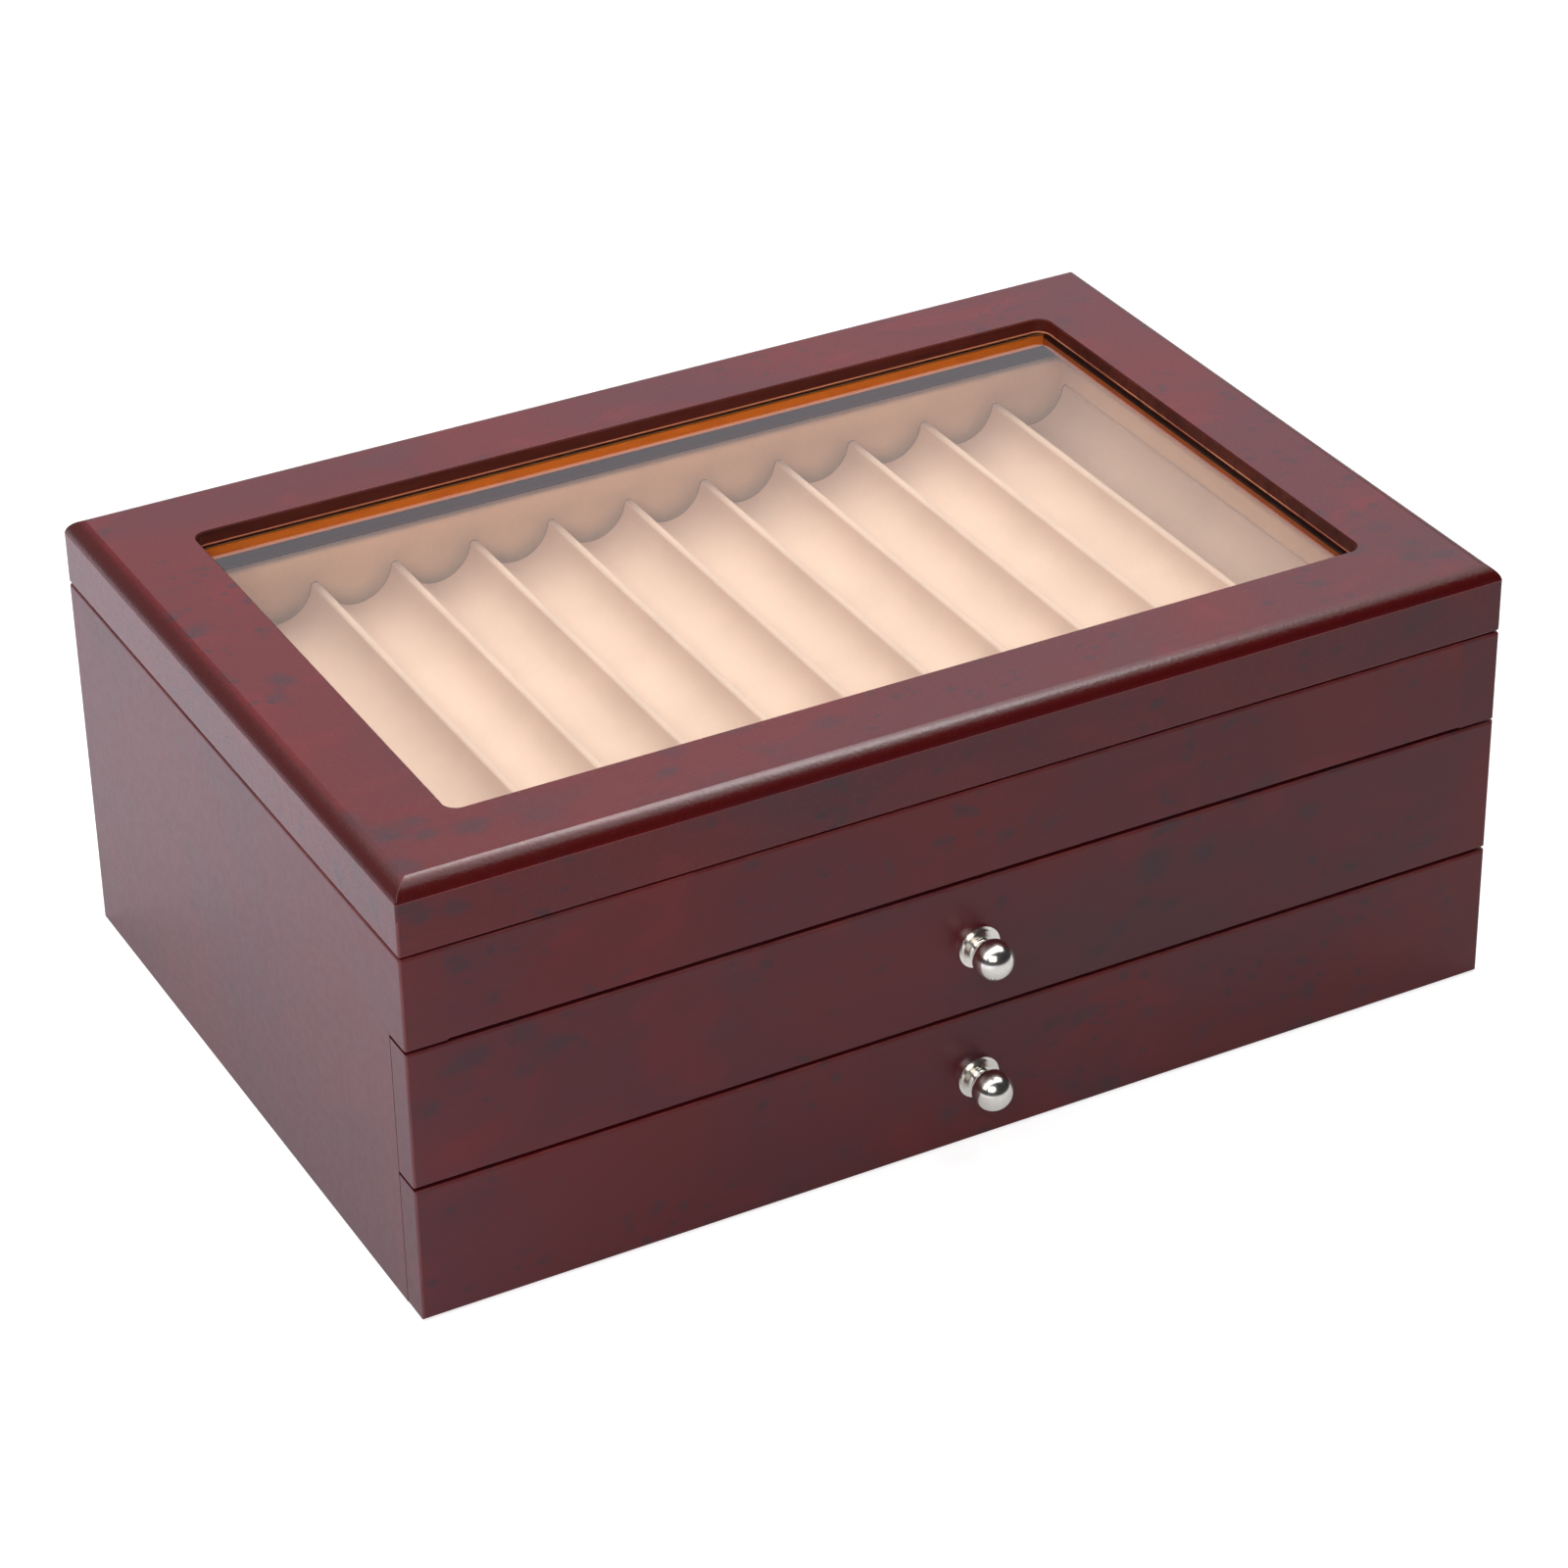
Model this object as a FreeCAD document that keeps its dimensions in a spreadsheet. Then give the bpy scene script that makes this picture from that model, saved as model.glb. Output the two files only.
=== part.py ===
"""Pen collector chest: a lacquered case with a glass-topped display tray and two drawers.

The frame has +X to the right along the front, +Y towards the back and +Z up.  The origin is the
centre of the case's underside.  All sizes are in millimetres and live in the sheet "dims".
"""
import FreeCAD, Part
import os

import Sketcher

DIMENSIONS = [
    # Case
    ("case_width", 335, "outside width of the case and lid"),
    ("case_depth", 227, "outside depth of the case and lid"),
    ("side_wall", 12, "thickness of the left and right sides"),
    ("back_wall", 14, "thickness of the back panel"),
    ("apron_wall", 12, "thickness of the fixed front apron"),
    ("apron_height", 27.6, "height of the fixed front apron"),
    ("base_thickness", 6, "thickness of the base panel"),
    ("divider_thickness", 5, "thickness of the board between the drawers"),
    ("tray_floor_thickness", 5, "thickness of the board under the display tray"),
    ("tray_floor_lap", 3, "how far the tray floor rises behind the apron"),
    ("groove_depth", 4, "depth of the grooves in the sides that hold the boards"),
    ("panel_play", 0.2, "gap at the end of a board in its groove"),
    ("edge_round", 0.8, "radius on the outer edges of case, drawers and lid rails"),
    # Display tray and pen inserts
    ("liner_thickness", 3.5, "thickness of a flocked liner board"),
    ("liner_drop", 0.6, "how far the liners stop below the top of the case"),
    ("liner_round", 1.2, "radius on the top edges of a liner board"),
    ("insert_play", 0.2, "gap at the front and sides of a pen insert"),
    ("insert_rear_gap", 4, "gap behind a pen insert"),
    ("insert_floor", 6.4, "thickness of an insert under its troughs"),
    ("ridge_width", 2.3, "width of the ridge between two troughs"),
    ("ridge_round", 1.0, "radius on the edges of a ridge"),
    ("arc_lift", 1.0, "height of a trough's centre line over the ridges"),
    ("tray_slots", 12, "pen slots in the display tray"),
    ("drawer_slots", 11, "pen slots in each drawer"),
    # Lid
    ("lid_height", 20.5, "height of the lid"),
    ("lid_seam", 0.4, "gap between the case and the closed lid"),
    ("lid_rail", 10, "thickness of the lid's rails"),
    ("lid_panel", 9.5, "thickness of the lid's top panel"),
    ("lid_roundover", 3.6, "radius round the lid's top"),
    ("window_margin", 28, "width of the lid's border round the window"),
    ("window_corner", 4, "radius in the corners of the window"),
    ("window_round", 0.2, "radius on the window's top edge"),
    ("glass_thickness", 1.6, "thickness of the glass pane"),
    ("glass_depth", 4.4, "depth of the glass below the lid's top"),
    ("glass_play", 0.3, "gap round the glass in its rebate"),
    ("rebate_width", 6, "width of the rebate that holds the glass"),
    # Drawers
    ("upper_front_height", 41.6, "height of the upper drawer's front"),
    ("lower_front_height", 41.1, "height of the lower drawer's front"),
    ("drawer_gap", 1.0, "gap above and below the upper drawer's front"),
    ("floor_clearance", 0.3, "height of the lower drawer's front over the underside"),
    ("front_thickness", 9.5, "thickness of a drawer front"),
    ("front_seat", 0.3, "gap between a closed drawer front and the case"),
    ("drawer_side_play", 1.0, "gap at each side of a drawer box"),
    ("drawer_run_gap", 0.3, "gap under a drawer box"),
    ("drawer_rear_gap", 3, "gap behind a closed drawer box"),
    ("drawer_wall", 8, "thickness of a drawer's sides and back"),
    ("drawer_head_gap", 2.1, "gap over a drawer box"),
    ("drawer_bottom", 3, "thickness of a drawer's bottom"),
    ("drawer_bottom_rise", 3, "height of a drawer's bottom over the lower edges"),
    ("drawer_groove", 3, "depth of the grooves that hold a drawer's bottom"),
    # Knobs
    ("flange_radius", 6.3, "radius of a knob's flange"),
    ("flange_rim", 1.2, "thickness of a knob's flange"),
    ("collar_radius", 5.3, "radius of the collar on a knob's flange"),
    ("collar_rim", 0.6, "thickness of the collar on a knob's flange"),
    ("neck_radius", 2.6, "radius of a knob's neck"),
    ("neck_sweep", 1.1, "radius between a knob's collar and its neck"),
    ("ball_radius", 5.8, "radius of a knob's ball"),
    ("ball_reach", 8.3, "distance of the ball's centre from the drawer front"),
    ("knob_screw_radius", 2, "radius of a knob's screw"),
    ("knob_screw_grip", 5, "length of the screw inside the knob"),
    ("screw_head_radius", 3.8, "radius of the screw's head"),
    ("screw_head_height", 2.4, "height of the screw's head"),
    ("screw_play", 0.05, "gap round a screw in its thread"),
    ("counterbore_play", 0.6, "gap round and over a screw head in its counterbore"),
    # Hinges
    ("hinge_inset", 75, "distance of a hinge's middle from the case's side"),
    ("hinge_length", 32, "length of a hinge"),
    ("lid_knuckle", 10.6, "length of the lid leaf's knuckle"),
    ("knuckle_radius", 2.2, "radius of a hinge's knuckles"),
    ("knuckle_gap", 0.3, "gap between knuckles, and between barrel and case"),
    ("lid_stop", 95, "angle at which the lid rests on its hinges' tails"),
    ("tail_reach", 5, "length of a case leaf's tail behind the barrel"),
    ("tail_thickness", 1.2, "thickness of a case leaf's tail"),
    ("leaf_depth", 8.5, "width of a leaf inside its mortise"),
    ("leaf_thickness", 1, "thickness of a leaf"),
    ("leaf_gap", 0.3, "gap between the closed leaves"),
    ("mortise_play", 0.1, "gap round a leaf in its mortise"),
    ("pin_radius", 1.1, "radius of a hinge pin"),
    ("pin_play", 0.05, "radial gap of a pin in its knuckles"),
    ("hinge_screw_pitch", 18, "distance between the screws of a leaf"),
    ("hinge_screw_radius", 1.1, "radius of a hinge screw"),
    ("hinge_screw_head", 2.0, "radius of a hinge screw's countersunk head"),
    ("hinge_screw_sink", 0.8, "height of a hinge screw's countersunk head"),
    ("hinge_screw_length", 9, "length of a hinge screw"),
]

HINGE_SCREWS = 2  # screws in each leaf
TOUCH = 0.001  # tolerance when an edge is found by its place

doc = FreeCAD.newDocument("pen_chest")
dims = doc.addObject("Spreadsheet::Sheet", "dims")
for row, (alias, number, note) in enumerate(DIMENSIONS, start=1):
    dims.set(f"A{row}", alias)
    dims.set(f"B{row}", str(number))
    dims.set(f"C{row}", note)
    dims.setAlias(f"B{row}", alias)
doc.recompute()

parts = []


# ---------------------------------------------------------------- expressions on the sheet

def size(alias):
    """The expression that reads one cell of the sheet."""
    return f"dims.{alias}"


def total(*terms):
    """The expression for a sum."""
    return "(" + " + ".join(terms) + ")"


def less(first, *rest):
    """The expression for the first term less the others."""
    return "(" + " - ".join((first,) + rest) + ")"


def minus(term):
    return f"(-1 * {term})"


def half(term):
    return f"({term} / 2)"


def number(expression):
    """The present value of an expression."""
    result = dims.evalExpression(expression)
    return float(getattr(result, "Value", result))


half_width = half(size("case_width"))
half_depth = half(size("case_depth"))
inner_side = less(half_width, size("side_wall"))
inner_back = less(half_depth, size("back_wall"))
front_plane = minus(half_depth)
apron_back = total(front_plane, size("apron_wall"))
carcass_front = total(front_plane, size("front_thickness"), size("front_seat"))

lower_front_top = total(size("floor_clearance"), size("lower_front_height"))
upper_front_bottom = total(lower_front_top, size("drawer_gap"))
upper_front_top = total(upper_front_bottom, size("upper_front_height"))
apron_bottom = total(upper_front_top, size("drawer_gap"))
body_height = total(apron_bottom, size("apron_height"))
divider_middle = less(upper_front_bottom, half(size("drawer_gap")))
divider_top = total(divider_middle, half(size("divider_thickness")))
divider_bottom = less(divider_middle, half(size("divider_thickness")))
tray_floor_top = total(apron_bottom, size("tray_floor_lap"))
tray_floor_bottom = less(tray_floor_top, size("tray_floor_thickness"))
liner_top = less(body_height, size("liner_drop"))

lid_bottom = total(body_height, size("lid_seam"))
lid_top = total(lid_bottom, size("lid_height"))
panel_bottom = less(lid_top, size("lid_panel"))
rail_height = less(size("lid_height"), size("lid_panel"))
window_x = less(half_width, size("window_margin"))
window_y = less(half_depth, size("window_margin"))
rebate_x = total(window_x, size("rebate_width"))
rebate_y = total(window_y, size("rebate_width"))
rebate_depth = less(size("lid_panel"), size("glass_depth"))
retainer_height = less(rebate_depth, size("glass_thickness"))

hinge_x = less(half_width, size("hinge_inset"))
hinge_reach = total(size("knuckle_radius"), size("knuckle_gap"))
hinge_y = total(half_depth, hinge_reach)
hinge_z = total(body_height, half(size("lid_seam")))
mortise_depth = less(size("leaf_thickness"), half(less(size("lid_seam"), size("leaf_gap"))))
mortise_back = less(half_depth, size("leaf_depth"), size("mortise_play"))
mortise_half = total(half(size("hinge_length")), size("mortise_play"))
screw_y = less(half_depth, half(size("leaf_depth")))


# ---------------------------------------------------------------- sketches and features

def new_body(label, place=("0", "0", "0")):
    """A body for one sub-part, placed by three expressions."""
    body = doc.addObject("PartDesign::Body", label)
    body.Label = label
    for axis, expression in zip("xyz", place):
        body.setExpression(f"Placement.Base.{axis}", expression)
    parts.append(body)
    return body


def new_sketch(body, name, role, offset="0"):
    """A sketch on one of the body's own planes, shifted along the plane's normal."""
    plane = next(item for item in body.Origin.OriginFeatures if item.Role == role)
    sketch = body.newObject("Sketcher::SketchObject", f"{body.Label}_{name}")
    sketch.AttachmentSupport = [(plane, "")]
    sketch.MapMode = "FlatFace"
    sketch.setExpression("AttachmentOffset.Base.z", offset)
    return sketch


def bind(sketch, constraint, expression):
    """Add a dimension and bind it to an expression."""
    index = sketch.addConstraint(constraint)
    sketch.setExpression(f"Constraints[{index}]", expression)


def fix_point(sketch, geometry, end, across=None, up=None):
    """Fix a point's place from the sketch's origin."""
    if across is not None:
        kind = Sketcher.Constraint("DistanceX", -1, 1, geometry, end, number(across))
        bind(sketch, kind, across)
    if up is not None:
        kind = Sketcher.Constraint("DistanceY", -1, 1, geometry, end, number(up))
        bind(sketch, kind, up)


def add_outline(sketch, corners):
    """A closed outline of straight lines through corners given as pairs of expressions."""
    points = [FreeCAD.Vector(number(across), number(up), 0) for across, up in corners]
    first = sketch.GeometryCount
    count = len(points)
    for index, point in enumerate(points):
        sketch.addGeometry(Part.LineSegment(point, points[(index + 1) % count]), False)
    for index, (across, up) in enumerate(corners):
        following = first + (index + 1) % count
        sketch.addConstraint(Sketcher.Constraint("Coincident", first + index, 2, following, 1))
        fix_point(sketch, first + index, 1, across, up)


def add_rectangle(sketch, low, high):
    """A rectangle between two corners given as pairs of expressions."""
    add_outline(sketch, [low, (high[0], low[1]), high, (low[0], high[1])])


def add_circle(sketch, across, up, radius):
    """A circle bound to expressions."""
    centre = FreeCAD.Vector(number(across), number(up), 0)
    circle = Part.Circle(centre, FreeCAD.Vector(0, 0, 1), number(radius))
    index = sketch.addGeometry(circle, False)
    fix_point(sketch, index, 3, across, up)
    bind(sketch, Sketcher.Constraint("Radius", index, number(radius)), radius)


def pad(body, sketch, length, back=False, both=False):
    """Pad a sketch along its normal, against it (back) or to both sides of it (both)."""
    feature = body.newObject("PartDesign::Pad", f"{sketch.Name}_pad")
    feature.Profile = sketch
    feature.setExpression("Length", length)
    feature.Reversed = back
    feature.Midplane = both
    doc.recompute()
    return feature


def pocket(body, sketch, length=None, back=False, both=False):
    """Pocket a sketch, to a depth or through all, and make sure that it cut."""
    before = body.Shape.Volume
    feature = body.newObject("PartDesign::Pocket", f"{sketch.Name}_pocket")
    feature.Profile = sketch
    if length is None:
        feature.Type = "ThroughAll"
    else:
        feature.setExpression("Length", length)
    feature.Reversed = back
    feature.Midplane = both
    doc.recompute()
    if body.Shape.Volume >= before:
        raise RuntimeError(f"{feature.Name} cut nothing")
    return feature


def lies_at(edge, x=None, y=None, z=None):
    """Whether an edge lies in the planes given by the values."""
    box = edge.BoundBox
    spans = ((x, box.XMin, box.XMax), (y, box.YMin, box.YMax), (z, box.ZMin, box.ZMax))
    return all(
        want is None or (abs(low - want) < TOUCH and abs(high - want) < TOUCH)
        for want, low, high in spans
    )


def round_edges(body, radius, chosen, name="round"):
    """Fillet the tip's edges for which chosen(edge) is true."""
    tip = body.Tip
    names = [f"Edge{n}" for n, edge in enumerate(tip.Shape.Edges, start=1) if chosen(edge)]
    if not names:
        raise RuntimeError(f"{body.Label} has no edge to round")
    fillet = body.newObject("PartDesign::Fillet", f"{body.Label}_{name}")
    fillet.Base = (tip, names)
    fillet.setExpression("Radius", radius)
    doc.recompute()


def board(label, low, high):
    """A plain rectangular board between two corners given as triples of expressions."""
    body = new_body(label, (low[0], low[1], low[2]))
    lengths = [less(end, start) for start, end in zip(low, high)]
    sketch = new_sketch(body, "outline", "XY_Plane")
    add_rectangle(sketch, ("0", "0"), (lengths[0], lengths[1]))
    pad(body, sketch, lengths[2])
    return body


# ---------------------------------------------------------------- case

def case_side(label, hand):
    """A side board: full depth at the apron, set back behind the drawer fronts below it."""
    outer_plane = minus(half_width) if hand < 0 else inner_side
    inner_plane = minus(inner_side) if hand < 0 else inner_side
    body = new_body(label)
    outline = new_sketch(body, "outline", "YZ_Plane", outer_plane)
    add_outline(outline, [
        (carcass_front, "0"),
        (half_depth, "0"),
        (half_depth, body_height),
        (front_plane, body_height),
        (front_plane, apron_bottom),
        (carcass_front, apron_bottom),
    ])
    pad(body, outline, size("side_wall"))

    grooves = new_sketch(body, "grooves", "YZ_Plane", inner_plane)
    add_rectangle(grooves, (carcass_front, "0"), (inner_back, size("base_thickness")))
    add_rectangle(grooves, (carcass_front, divider_bottom), (inner_back, divider_top))
    add_rectangle(grooves, (apron_back, tray_floor_bottom), (inner_back, tray_floor_top))
    pocket(body, grooves, size("groove_depth"), back=hand > 0)

    face = hand * number(half_width)
    front = number(front_plane)
    top = number(body_height)

    def outer_edge(edge):
        on_top = lies_at(edge, x=face, z=top)
        at_front = lies_at(edge, x=face, y=front) or lies_at(edge, y=front, z=top)
        at_back = lies_at(edge, x=face, y=-front) or lies_at(edge, y=-front, z=top)
        return on_top or at_front or at_back

    round_edges(body, size("edge_round"), outer_edge)


def hinge_mortises(body, plane_offset, depth, back):
    """Sink the mortises of both hinges, and drill for their screws below them."""
    seat = new_sketch(body, "mortises", "XY_Plane", plane_offset)
    holes = new_sketch(body, "pilots", "XY_Plane", plane_offset)
    for hand in (1, -1):
        middle = hinge_x if hand > 0 else minus(hinge_x)
        add_rectangle(
            seat,
            (less(middle, mortise_half), mortise_back),
            (total(middle, mortise_half), half_depth),
        )
        for place in screw_offsets():
            radius = total(size("hinge_screw_radius"), size("screw_play"))
            add_circle(holes, total(middle, place), screw_y, radius)
    pocket(body, seat, depth, back=back)
    pocket(body, holes, total(depth, size("hinge_screw_length")), back=back)


def screw_offsets():
    """The places of a leaf's screws along X, from the hinge's middle."""
    first = -(HINGE_SCREWS - 1) / 2
    return [f"({first + n} * dims.hinge_screw_pitch)" for n in range(HINGE_SCREWS)]


def case_back():
    """The back panel, between the sides, with the hinge mortises in its top edge."""
    body = new_body("back_panel")
    outline = new_sketch(body, "outline", "XY_Plane")
    add_rectangle(outline, (minus(inner_side), inner_back), (inner_side, half_depth))
    pad(body, outline, body_height)
    back, top = number(half_depth), number(body_height)
    round_edges(body, size("edge_round"), lambda edge: lies_at(edge, y=back, z=top))
    hinge_mortises(body, body_height, mortise_depth, back=False)


def case_apron():
    """The fixed board above the drawers, flush with the drawer fronts."""
    body = new_body("front_apron", ("0", front_plane, apron_bottom))
    outline = new_sketch(body, "outline", "XY_Plane")
    add_rectangle(outline, (minus(inner_side), "0"), (inner_side, size("apron_wall")))
    pad(body, outline, size("apron_height"))
    top = number(size("apron_height"))

    def front_edge(edge):
        return lies_at(edge, y=0, z=0) or lies_at(edge, y=0, z=top)

    round_edges(body, size("edge_round"), front_edge)


def case_boards():
    """The three boards that the grooves of the sides hold."""
    reach = less(total(inner_side, size("groove_depth")), size("panel_play"))
    rows = [
        ("base_panel", carcass_front, "0", size("base_thickness")),
        ("drawer_divider", carcass_front, divider_bottom, divider_top),
        ("tray_floor", apron_back, tray_floor_bottom, tray_floor_top),
    ]
    for label, front, bottom, top in rows:
        board(label, (minus(reach), front, bottom), (reach, inner_back, top))


# ---------------------------------------------------------------- display tray

def liner(label, low, high):
    """A flocked liner board with a soft top, stood on the tray floor."""
    body = board(label, (low[0], low[1], tray_floor_top), (high[0], high[1], liner_top))
    top = number(less(liner_top, tray_floor_top))
    length = max(number(less(high[0], low[0])), number(less(high[1], low[1])))

    def long_top_edge(edge):
        return lies_at(edge, z=top) and edge.Length > length - TOUCH

    round_edges(body, size("liner_round"), long_top_edge)


def tray_liners():
    """The four liner boards round the display tray."""
    inside = less(inner_side, size("liner_thickness"))
    front = total(apron_back, size("liner_thickness"))
    back = less(inner_back, size("liner_thickness"))
    liner("tray_liner_left", (minus(inner_side), apron_back), (minus(inside), inner_back))
    liner("tray_liner_right", (inside, apron_back), (inner_side, inner_back))
    liner("tray_liner_front", (minus(inside), apron_back), (inside, front))
    liner("tray_liner_back", (minus(inside), back), (inside, inner_back))


def pen_insert(label, half_span, front, back, bottom, slots):
    """A flocked insert with a row of round troughs that run from front to back."""
    body = new_body(label, ("0", front, bottom))
    pitch = f"(2 * {half_span} / {slots})"
    radius = half(less(pitch, size("ridge_width")))
    crest = less(total(size("insert_floor"), radius), size("arc_lift"))
    block = new_sketch(body, "block", "XY_Plane")
    add_rectangle(block, (minus(half_span), "0"), (half_span, less(back, front)))
    pad(body, block, crest)

    trough = new_sketch(body, "trough", "XZ_Plane")
    first = total(minus(half_span), half(pitch))
    add_circle(trough, first, total(size("insert_floor"), radius), radius)
    cut = pocket(body, trough)

    row = body.newObject("PartDesign::LinearPattern", f"{label}_row")
    row.Originals = [cut]
    row.Direction = (trough, ["H_Axis"])
    row.setExpression("Length", f"({pitch} * ({slots} - 1))")
    row.setExpression("Occurrences", slots)
    body.Tip = row
    doc.recompute()

    top = number(crest)
    end = number(half_span)

    def crest_edge(edge):
        runs_back = edge.BoundBox.YLength > TOUCH
        inside = abs(edge.BoundBox.XMin) < end - TOUCH
        return lies_at(edge, z=top) and runs_back and inside

    round_edges(body, size("ridge_round"), crest_edge)


def display_tray():
    """The insert that shows through the window."""
    play = total(size("liner_thickness"), size("insert_play"))
    pen_insert(
        "tray_insert",
        half_span=less(inner_side, play),
        front=total(apron_back, play),
        back=less(inner_back, size("liner_thickness"), size("insert_rear_gap")),
        bottom=tray_floor_top,
        slots=size("tray_slots"),
    )


# ---------------------------------------------------------------- lid

def lid_panel():
    """The lid's top: a rounded board with the window and the rebate for the glass."""
    body = new_body("lid_panel", ("0", "0", panel_bottom))
    outline = new_sketch(body, "outline", "XY_Plane")
    add_rectangle(outline, (minus(half_width), minus(half_depth)), (half_width, half_depth))
    pad(body, outline, size("lid_panel"))

    window = new_sketch(body, "window", "XY_Plane", size("lid_panel"))
    add_rectangle(window, (minus(window_x), minus(window_y)), (window_x, window_y))
    pocket(body, window)
    top = number(size("lid_panel"))
    side, front = number(window_x), number(window_y)

    def window_corner(edge):
        box = edge.BoundBox
        upright = box.ZLength > top - TOUCH
        inside = abs(abs(box.XMin) - side) < TOUCH and abs(abs(box.YMin) - front) < TOUCH
        return upright and inside

    round_edges(body, size("window_corner"), window_corner, "corners")

    rebate = new_sketch(body, "rebate", "XY_Plane")
    add_rectangle(rebate, (minus(rebate_x), minus(rebate_y)), (rebate_x, rebate_y))
    pocket(body, rebate, rebate_depth, back=True)

    def window_rim(edge):
        box = edge.BoundBox
        return lies_at(edge, z=top) and max(abs(box.XMin), abs(box.XMax)) < side + TOUCH

    def outer_rim(edge):
        box = edge.BoundBox
        return lies_at(edge, z=top) and max(abs(box.XMin), abs(box.XMax)) > side + TOUCH

    round_edges(body, size("window_round"), window_rim, "window_edge")
    round_edges(body, size("lid_roundover"), outer_rim, "roundover")
    round_edges(body, size("edge_round"), lid_corner, "corner_edges")


def lid_corner(edge):
    """Whether an edge stands upright at one of the lid's four corners."""
    side, end = number(half_width), number(half_depth)
    upright = edge.BoundBox.ZLength > TOUCH
    return upright and any(lies_at(edge, x=x, y=y) for x in (-side, side) for y in (-end, end))


def lid_rails():
    """The four rails under the lid's panel; the back one holds the hinges."""
    side = less(half_width, size("lid_rail"))
    end = less(half_depth, size("lid_rail"))
    rows = [
        ("lid_rail_front", (minus(half_width), minus(half_depth)), (half_width, minus(end))),
        ("lid_rail_back", (minus(half_width), end), (half_width, half_depth)),
        ("lid_rail_left", (minus(half_width), minus(end)), (minus(side), end)),
        ("lid_rail_right", (side, minus(end)), (half_width, end)),
    ]
    outer_x, outer_y = number(half_width), number(half_depth)

    def outer_edge(edge):
        at_side = any(lies_at(edge, x=place, z=0) for place in (-outer_x, outer_x))
        at_end = any(lies_at(edge, y=place, z=0) for place in (-outer_y, outer_y))
        return at_side or at_end or lid_corner(edge)

    for label, low, high in rows:
        body = new_body(label, ("0", "0", lid_bottom))
        outline = new_sketch(body, "outline", "XY_Plane")
        add_rectangle(outline, low, high)
        pad(body, outline, rail_height)
        round_edges(body, size("edge_round"), outer_edge)
        if label == "lid_rail_back":
            hinge_mortises(body, "0", mortise_depth, back=True)


def lid_glass():
    """The glass pane in the rebate, and the four mitred strips that hold it there."""
    play = size("glass_play")
    pane_x, pane_y = less(rebate_x, play), less(rebate_y, play)
    pane_bottom = total(panel_bottom, retainer_height)
    pane_top = total(pane_bottom, size("glass_thickness"))
    board("glass_pane", (minus(pane_x), minus(pane_y), pane_bottom), (pane_x, pane_y, pane_top))

    for name, hand in (("front", -1), ("back", 1)):
        near, far = (window_y, rebate_y) if hand > 0 else (minus(window_y), minus(rebate_y))
        retainer(f"glass_retainer_{name}", [
            (minus(window_x), near),
            (window_x, near),
            (rebate_x, far),
            (minus(rebate_x), far),
        ])
    for name, hand in (("left", -1), ("right", 1)):
        near, far = (window_x, rebate_x) if hand > 0 else (minus(window_x), minus(rebate_x))
        retainer(f"glass_retainer_{name}", [
            (near, minus(window_y)),
            (far, minus(rebate_y)),
            (far, rebate_y),
            (near, window_y),
        ])


def retainer(label, corners):
    """One mitred strip under the glass."""
    body = new_body(label, ("0", "0", panel_bottom))
    outline = new_sketch(body, "outline", "XY_Plane")
    add_outline(outline, corners)
    pad(body, outline, retainer_height)


# ---------------------------------------------------------------- drawers

def drawer(name, floor, ceiling, front_bottom, front_top):
    """One drawer between two boards: an overlay front, a grooved box and a pen insert."""
    outer = less(inner_side, size("drawer_side_play"))
    inside = less(outer, size("drawer_wall"))
    box_front = total(front_plane, size("front_thickness"))
    box_back = less(inner_back, size("drawer_rear_gap"))
    box_bottom = total(floor, size("drawer_run_gap"))
    box_top = less(ceiling, size("drawer_head_gap"))
    panel_low = total(box_bottom, size("drawer_bottom_rise"))
    panel_high = total(panel_low, size("drawer_bottom"))
    groove = total(inside, size("drawer_groove"))
    knob_height = half(total(front_bottom, front_top))

    drawer_front(name, front_bottom, front_top, knob_height, groove, panel_low, panel_high)
    for hand, side in ((-1, "left"), (1, "right")):
        body = new_body(f"{name}_drawer_{side}")
        outline = new_sketch(body, "outline", "YZ_Plane", minus(outer) if hand < 0 else inside)
        add_rectangle(outline, (box_front, box_bottom), (box_back, box_top))
        pad(body, outline, size("drawer_wall"))
        slot = new_sketch(body, "groove", "YZ_Plane", minus(inside) if hand < 0 else inside)
        add_rectangle(slot, (box_front, panel_low), (box_back, panel_high))
        pocket(body, slot, size("drawer_groove"), back=hand > 0)

    inner_end = less(box_back, size("drawer_wall"))
    board(f"{name}_drawer_back", (minus(inside), inner_end, panel_high), (inside, box_back, box_top))
    reach = less(groove, size("panel_play"))
    tongue = less(box_front, less(size("drawer_groove"), size("panel_play")))
    board(f"{name}_drawer_bottom", (minus(reach), tongue, panel_low), (reach, box_back, panel_high))
    pen_insert(
        f"{name}_drawer_insert",
        half_span=less(inside, size("insert_play")),
        front=total(box_front, size("insert_play")),
        back=less(inner_end, size("insert_rear_gap")),
        bottom=panel_high,
        slots=size("drawer_slots"),
    )
    knob(f"{name}_drawer_knob", knob_height)
    knob_screw(f"{name}_drawer_knob_screw", knob_height)


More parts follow.
